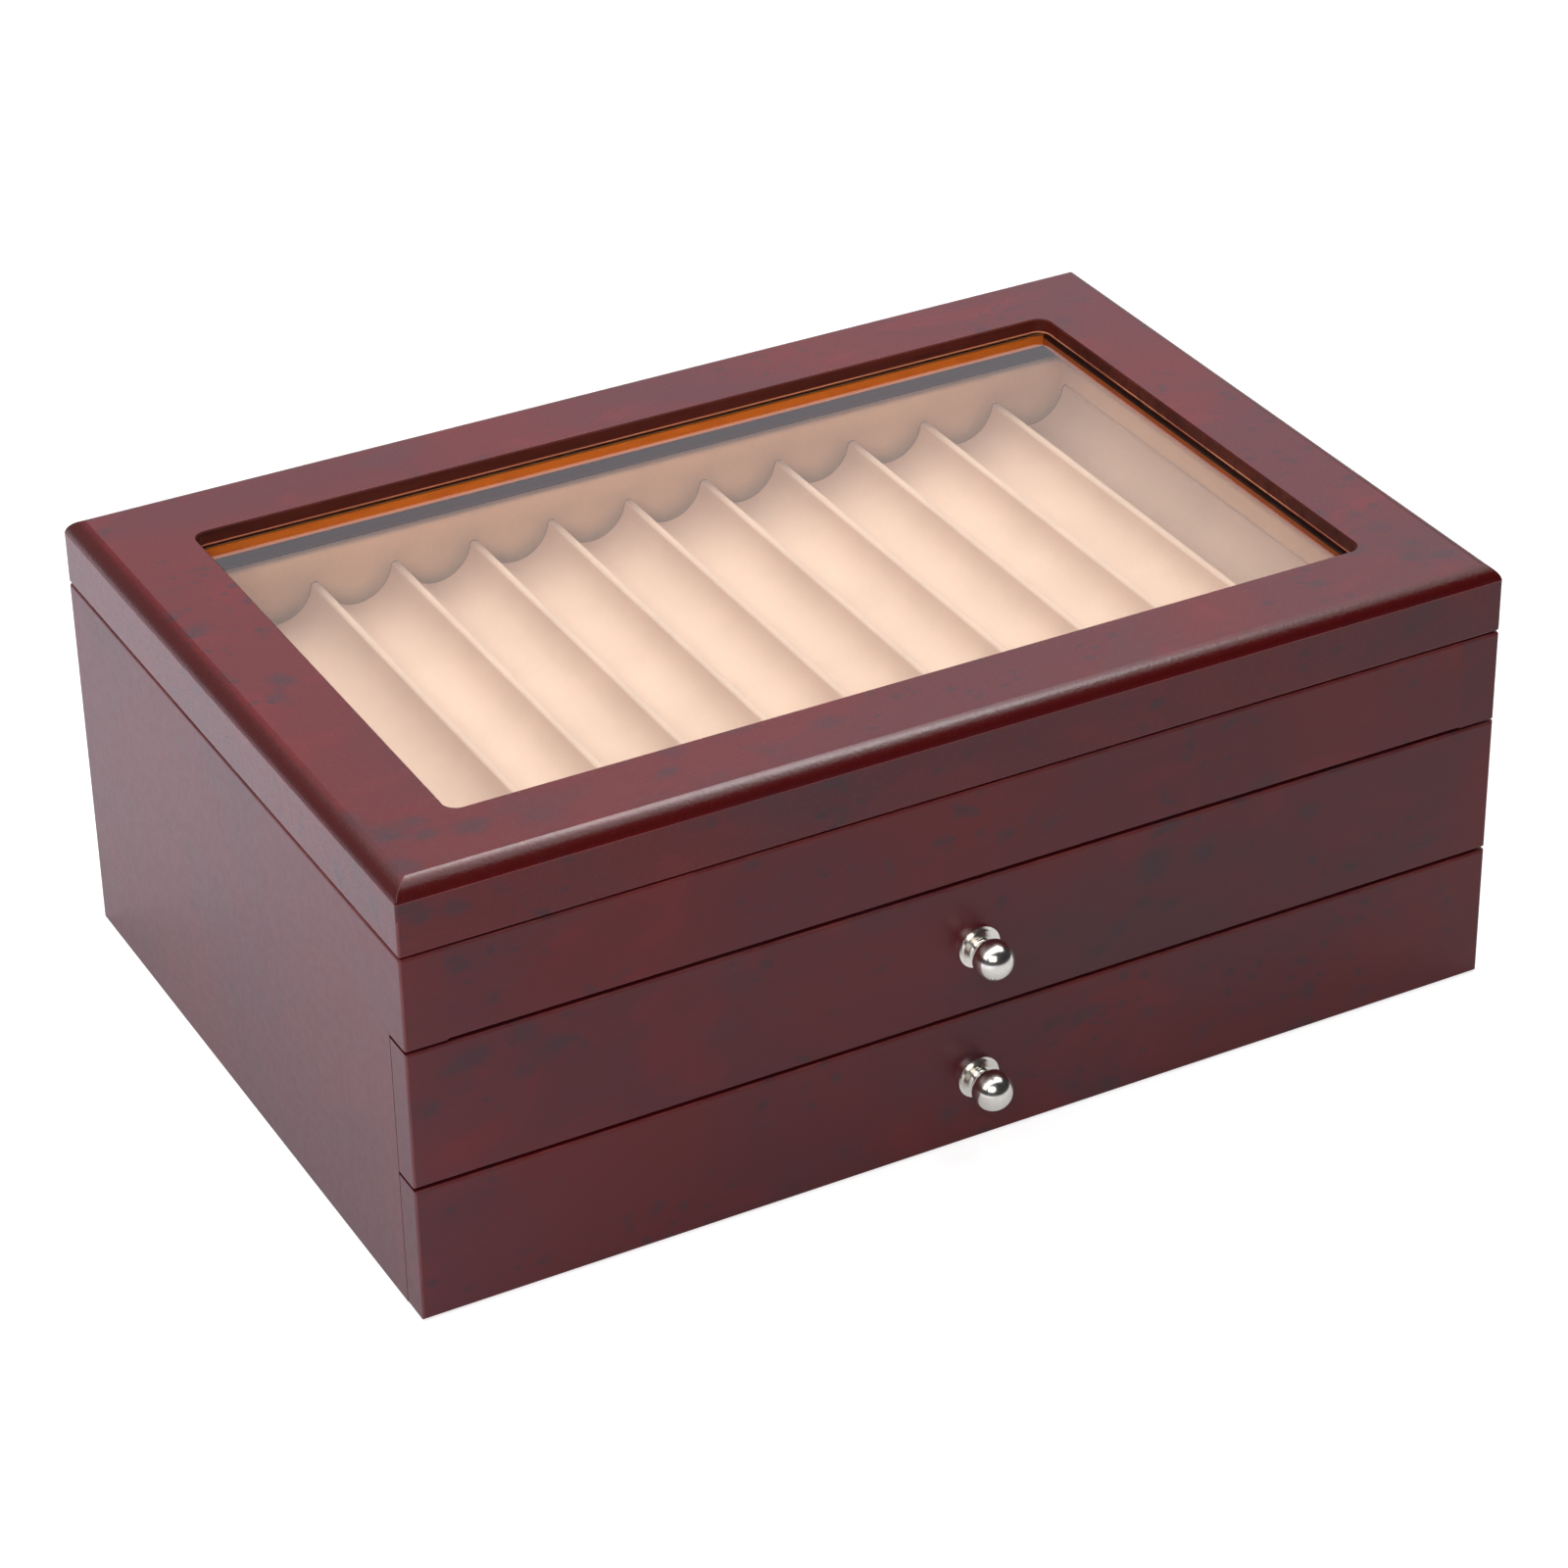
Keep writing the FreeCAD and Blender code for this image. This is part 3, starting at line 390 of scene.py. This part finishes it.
# ------------------------------------------------------------------ the lid's top panel

RIM_SWEEP = 0.0070
RIM_FOOT, RIM_BROW = math.radians(20), math.radians(78)
RIM_STEPS = 10
CREASE = 0.0003
CORNER_ROUND, CORNER_LEAST = 0.0008, 0.0003
CORNER_STEPS = 6
FRAME_WIDTH = 0.028
WINDOW_ROUND, WINDOW_BEVEL = 0.004, 0.0004
# A thin band of painted highlight at the foot of the window's wall, where it meets the pane.
PANE_HIGHLIGHT_LINE = 0.0004
REBATE, REBATE_ROUND = 0.006, 0.001
SHARPEST_SMOOTH = math.radians(12)

# The panel's own materials, in the order of their slots.
LACQUERED, WALL, CREASED, PANE_HIGHLIGHT = range(4)


def ring(half_x, half_y, radius, height):
    """One closed row of points round a rectangle with rounded corners."""
    row = []
    for quarter, (side_x, side_y) in enumerate(((1, 1), (-1, 1), (-1, -1), (1, -1))):
        for step in range(CORNER_STEPS + 1):
            angle = math.radians(90) * (quarter + step / CORNER_STEPS)
            row.append((side_x * (half_x - radius) + radius * math.cos(angle),
                        side_y * (half_y - radius) + radius * math.sin(angle), height))
    return row


def rim_rows(half_x, half_y, low, top):
    """The outside of the panel, from its underside to the brow of the rim.

    The rim is a round that meets the upright faces and the top at slight creases. Each row has with
    it the slot of the band that leads up to it.
    """
    depth = RIM_SWEEP * (math.sin(RIM_BROW) - math.sin(RIM_FOOT))
    rows = [(ring(half_x, half_y, CORNER_ROUND, low), LACQUERED),
            (ring(half_x, half_y, CORNER_ROUND, top - depth - CREASE), LACQUERED)]
    for step in range(RIM_STEPS + 1):
        angle = RIM_FOOT + (RIM_BROW - RIM_FOOT) * step / RIM_STEPS
        inset = RIM_SWEEP * (math.cos(RIM_FOOT) - math.cos(angle))
        drop = RIM_SWEEP * (math.sin(RIM_BROW) - math.sin(angle))
        radius = max(CORNER_ROUND - inset, CORNER_LEAST)
        rows.append((ring(half_x - inset, half_y - inset, radius, top - drop),
                     LACQUERED if step else CREASED))
    return rows


def window_rows(half_x, half_y, low, pane_top, top):
    """The window's edge, its wall down to the pane, and the rebate that holds the pane."""
    bevel, rebate = WINDOW_BEVEL, REBATE
    return [(ring(half_x + bevel, half_y + bevel, WINDOW_ROUND + bevel, top), LACQUERED),
            (ring(half_x, half_y, WINDOW_ROUND, top - bevel), WALL),
            (ring(half_x, half_y, WINDOW_ROUND, pane_top + PANE_HIGHLIGHT_LINE), WALL),
            # The band of painted highlight where the wall meets the pane.
            (ring(half_x, half_y, WINDOW_ROUND, pane_top), PANE_HIGHLIGHT),
            (ring(half_x + rebate, half_y + rebate, REBATE_ROUND, pane_top), WALL),
            (ring(half_x + rebate, half_y + rebate, REBATE_ROUND, low), WALL)]


def loft(name, rows):
    """A closed mesh through rings of points, whose last ring leads back to the first."""
    shape = bmesh.new()
    made = [[shape.verts.new(point) for point in row] for row, _ in rows]
    around = len(made[0])
    for index, row in enumerate(made):
        other = (index + 1) % len(made)
        following, slot = made[other], rows[other][1]
        for step in range(around):
            after = (step + 1) % around
            face = shape.faces.new((row[step], row[after], following[after], following[step]))
            face.material_index = slot
            face.smooth = row[0].co.z != following[0].co.z and row[0].co.x != following[0].co.x
    bmesh.ops.recalc_face_normals(shape, faces=shape.faces)
    for edge in shape.edges:
        edge.smooth = edge.calc_face_angle() < SHARPEST_SMOOTH
    mesh = bpy.data.meshes.new(name)
    shape.to_mesh(mesh)
    shape.free()
    return mesh


def lid_top(*finishes):
    """The lid's top panel, with a finish for each of its slots."""
    low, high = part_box("lid_panel")
    half_x, half_y, top = high
    pane_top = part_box("glass_pane")[1][2]
    window = (half_x - FRAME_WIDTH, half_y - FRAME_WIDTH)
    mesh = loft("lid_top", rim_rows(half_x, half_y, low[2], top)
                + window_rows(*window, low[2], pane_top, top))
    for finish in finishes:
        mesh.materials.append(finish)
    panel = bpy.data.objects.new("lid_top", mesh)
    bpy.context.scene.collection.objects.link(panel)
    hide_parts("lid_panel")
    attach(panel, "lid")


# ------------------------------------------------------------------ the finishes, piece by piece

LID_BURL = (0.31, 0.12, 0.05)
LID_SATIN = 0.26
RIM_RED = 0.95
TRAY_FELT_END = 0.0915
FELT_TINT = (231, 198, 175)


def finish_lid():
    lid_top(
        lacquer("Lacquer_top", LID_BURL, edge_highlight=0.0, rim=RIM_RED, satin=LID_SATIN),
        stained("Lacquer_wall", (62, 16, 10), (78, 26, 18), "X", shine=0.12),
        stained("Lacquer_crease", (104, 34, 34), (140, 66, 56), "X"),
        # Painted highlight: the light line at the foot of the window's wall.
        stained("Lacquer_pane_highlight", (170, 84, 60), (214, 140, 100), "X"),
    )
    dress(lacquer("Lacquer_lid", LID_BURL, satin=LID_SATIN),
          *[f"lid_rail_{place}" for place in ENDS + SIDES])
    dress(glass("Glass"), "glass_pane")
    strip_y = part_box("glass_retainer_back")[0][1]
    strip_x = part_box("glass_retainer_right")[0][0]
    dress(amber("Amber_ends", (218, 118, 36), (184, 88, 24), "Y", strip_y,
                dark_below=0.0001, dark_past=0.0015),
          *[f"glass_retainer_{end}" for end in ENDS])
    # The side strips are darker copies of the end strips: painted shade, as less light falls on them.
    dress(amber("Amber_sides", (158, 78, 32), (124, 54, 20), "X", strip_x,
                dark_below=0.0009, dark_past=0.0),
          *[f"glass_retainer_{side}" for side in SIDES])


def finish_case():
    dress(lacquer("Lacquer_sides", (1.9, 0.7, 0.21), burl=0.45), "left_side", "right_side", "back_panel")
    dress(lacquer("Lacquer_apron", (1.27, 0.4, 0.33)), "front_apron")
    # The tray's felt gets painted shade at its rear end, for the shadow in the gap behind it.
    dress(felt("Felt_tray", FELT_TINT, shade_from=TRAY_FELT_END), "tray_insert")
    # The liner's felt is lighter than the tray's: a painted brightening for light that its walls lack.
    dress(felt("Felt_liner", (248, 210, 178), (0.4, 0, 0)),
          *[f"tray_liner_{place}" for place in SIDES + ENDS])
    dress(stained("Board_case", (70, 30, 24), (92, 42, 32), "X"),
          "base_panel", "drawer_divider", "tray_floor")


def finish_drawers():
    dress(lacquer("Lacquer_upper", (2.61, 0.9, 0.14)), "upper_drawer_front")
    dress(lacquer("Lacquer_lower", (3.93, 0.2, 0.47)), "lower_drawer_front")
    dress(felt("Felt", FELT_TINT), *[f"{drawer}_drawer_insert" for drawer in DRAWERS])
    dark, light = (78, 34, 26), (104, 50, 36)
    dress(stained("Board_side", dark, light, "Y"),
          *[f"{drawer}_drawer_{side}" for drawer in DRAWERS for side in SIDES])
    dress(stained("Board_back", dark, light, "X", (0.2, 0.1, 0)),
          *[f"{drawer}_drawer_{part}" for drawer in DRAWERS for part in ("back", "bottom")])


def finish_metal():
    dress(metal("Chrome", (236, 233, 226), roughness=0.17, scratch=0.06),
          *[f"{drawer}_drawer_knob" for drawer in DRAWERS])
    dress(metal("Zinc", (176, 178, 182), roughness=0.3, scratch=0.2),
          *[f"{drawer}_drawer_knob_screw" for drawer in DRAWERS])
    dress(metal("Brass", (206, 170, 96), roughness=0.3, scratch=0.05),
          *[f"{side}_hinge_{part}" for side in SIDES for part in ("case_leaf", "lid_leaf", "pin")],
          "hinge_case_screws", "hinge_lid_screws")


# ------------------------------------------------------------------ floor, light and camera

FLOOR_REACH = 6.0
FLOOR_GAP = 0.0002
FLOOR_GLOW = 0.76
PAPER_GREY = (0.42, 0.42, 0.42, 1)
TABLE_GREY = (0.4, 0.4, 0.4, 1)
TABLE_TINT = (0.83, 0.79, 1, 1)
ROOM_TINT, ROOM_STRENGTH = (0.55, 0.55, 0.6, 1), 0.06
GLOSSY_SHARE = 0.3


def seen_white(t, glossy_share):
    """1 for camera and transmitted rays, which see white, and a share of it for glossy ones."""
    rays = t.node("LightPath").outputs
    direct = t.math("MAXIMUM", rays["Is Camera Ray"], rays["Is Transmission Ray"])
    return t.math("MAXIMUM", direct, t.both(rays["Is Glossy Ray"], glossy_share))


def floor_finish():
    """Pale paper for the camera. Other rays meet a dimmer table that glows most at the left."""
    t = material("Floor")
    speck = t.fade(t.noise(t.place(), scale=60), low=0.3, high=0.7)
    paper = t.node("BsdfDiffuse", {"Color": t.mix(speck, PAPER_GREY, TABLE_GREY)})
    white = t.node("Emission", {"Color": WHITE, "Strength": FLOOR_GLOW})
    shown = t.node("AddShader", {0: paper.outputs[0], 1: white.outputs[0]})
    beside = t.fade(t.axis("X"), low=-0.28, high=-0.05, start=0.92, end=0.1)
    behind = t.fade(t.axis("Y"), low=-0.1, high=0.25, start=0.8, end=1.0)
    glow = t.node("Emission", {"Color": TABLE_TINT, "Strength": t.both(beside, behind)})
    grey = t.node("BsdfDiffuse", {"Color": TABLE_GREY})
    table = t.node("AddShader", {0: grey.outputs[0], 1: glow.outputs[0]})
    seen = seen_white(t, GLOSSY_SHARE)
    return t.surface(t.node("MixShader", {0: seen, 1: table.outputs[0], 2: shown.outputs[0]}))


def floor():
    """A plain pale floor, white where nothing shades it."""
    far = FLOOR_REACH
    mesh = bpy.data.meshes.new("floor")
    mesh.from_pydata([(-far, -far, 0), (far, -far, 0), (far, far, 0), (-far, far, 0)],
                     [], [(0, 1, 2, 3)])
    mesh.materials.append(floor_finish())
    plane = bpy.data.objects.new("floor", mesh)
    plane.location.z = -FLOOR_GAP
    bpy.context.scene.collection.objects.link(plane)


def world():
    """A dim room that is white for the camera. Glossy rays see some of the white towards the back."""
    studio = bpy.data.worlds.new("Studio")
    bpy.context.scene.world = studio
    t = Tree(studio, "OutputWorld")
    room = t.node("Background", {"Color": ROOM_TINT, "Strength": ROOM_STRENGTH})
    white = t.node("Background", {"Color": WHITE, "Strength": 1.0})
    heading = t.axis("Y", t.node("TexCoord").outputs["Generated"])
    behind = t.fade(heading, low=0.4, high=0.65, end=GLOSSY_SHARE)
    seen = seen_white(t, behind)
    t.surface(t.node("MixShader", {0: seen, 1: room.outputs[0], 2: white.outputs[0]}))


def softbox(name, location, target, size, power, tint=WHITE[:3]):
    """A rectangular light that points at its target and isn't seen itself."""
    data = bpy.data.lights.new(name, "AREA")
    data.shape = "RECTANGLE"
    data.size, data.size_y = size
    data.energy = power
    data.color = tint
    lamp = bpy.data.objects.new(name, data)
    lamp.location = location
    aim = Vector(target) - Vector(location)
    lamp.rotation_euler = aim.to_track_quat("-Z", "Y").to_euler()
    lamp.visible_camera = False
    bpy.context.scene.collection.objects.link(lamp)


def lights():
    warm, cool = (1, 0.97, 0.95), (0.95, 0.91, 1)
    low, middle = (0, 0, 0.05), (0, 0, 0.1)
    softbox("Ceiling", (0, 0.5, 1.7), (0, 0.501, 0), size=(3.4, 2.5), power=46)
    softbox("Overhead", (0.43, 0.22, 1.33), low, size=(0.96, 0.2), power=7.6)
    softbox("Back", (0.78, 1.7, 0.88), middle, size=(1.6, 0.9), power=2.7, tint=cool)
    softbox("Front", (-0.95, -1.5, 1.35), low, size=(1.3, 0.9), power=18, tint=warm)
    softbox("Left", (-1.7, -0.2, 1.35), middle, size=(1.2, 0.9), power=6, tint=warm)


# The view that was solved from the photograph's perspective.
VIEW_AZIMUTH = math.radians(-27.8404)
VIEW_ELEVATION = math.radians(31.1476)
VIEW_ROLL = math.radians(-1.0858)
VIEW_TARGET = Vector((-0.0364602, -0.0728567, 0.1035075))
VIEW_DISTANCE = 1.2786388
FOCAL_PIXELS, FRAME_PIXELS = 4871.7752, 1600
SENSOR_WIDTH = 36
NEAR, FAR = 0.05, 60


def camera():
    """The eye stands high at the front left, with a long lens and a slight roll."""
    back = Vector((
        math.sin(VIEW_AZIMUTH) * math.cos(VIEW_ELEVATION),
        -math.cos(VIEW_AZIMUTH) * math.cos(VIEW_ELEVATION),
        math.sin(VIEW_ELEVATION),
    ))
    right = (-back).cross(Vector((0, 0, 1))).normalized()
    up = right.cross(-back)
    tilted_right = math.cos(VIEW_ROLL) * right + math.sin(VIEW_ROLL) * up
    tilted_up = -math.sin(VIEW_ROLL) * right + math.cos(VIEW_ROLL) * up
    data = bpy.data.cameras.new("Camera")
    data.sensor_width = SENSOR_WIDTH
    data.lens = FOCAL_PIXELS / FRAME_PIXELS * SENSOR_WIDTH
    data.clip_start, data.clip_end = NEAR, FAR
    eye = bpy.data.objects.new("Camera", data)
    axes = Matrix((tilted_right, tilted_up, back)).transposed()
    eye.matrix_world = Matrix.Translation(VIEW_TARGET + back * VIEW_DISTANCE) @ axes.to_4x4()
    bpy.context.scene.collection.objects.link(eye)
    bpy.context.scene.camera = eye


finish_lid()
finish_case()
finish_drawers()
finish_metal()
floor()
world()
lights()
camera()
bpy.context.scene.view_settings.view_transform = "Standard"
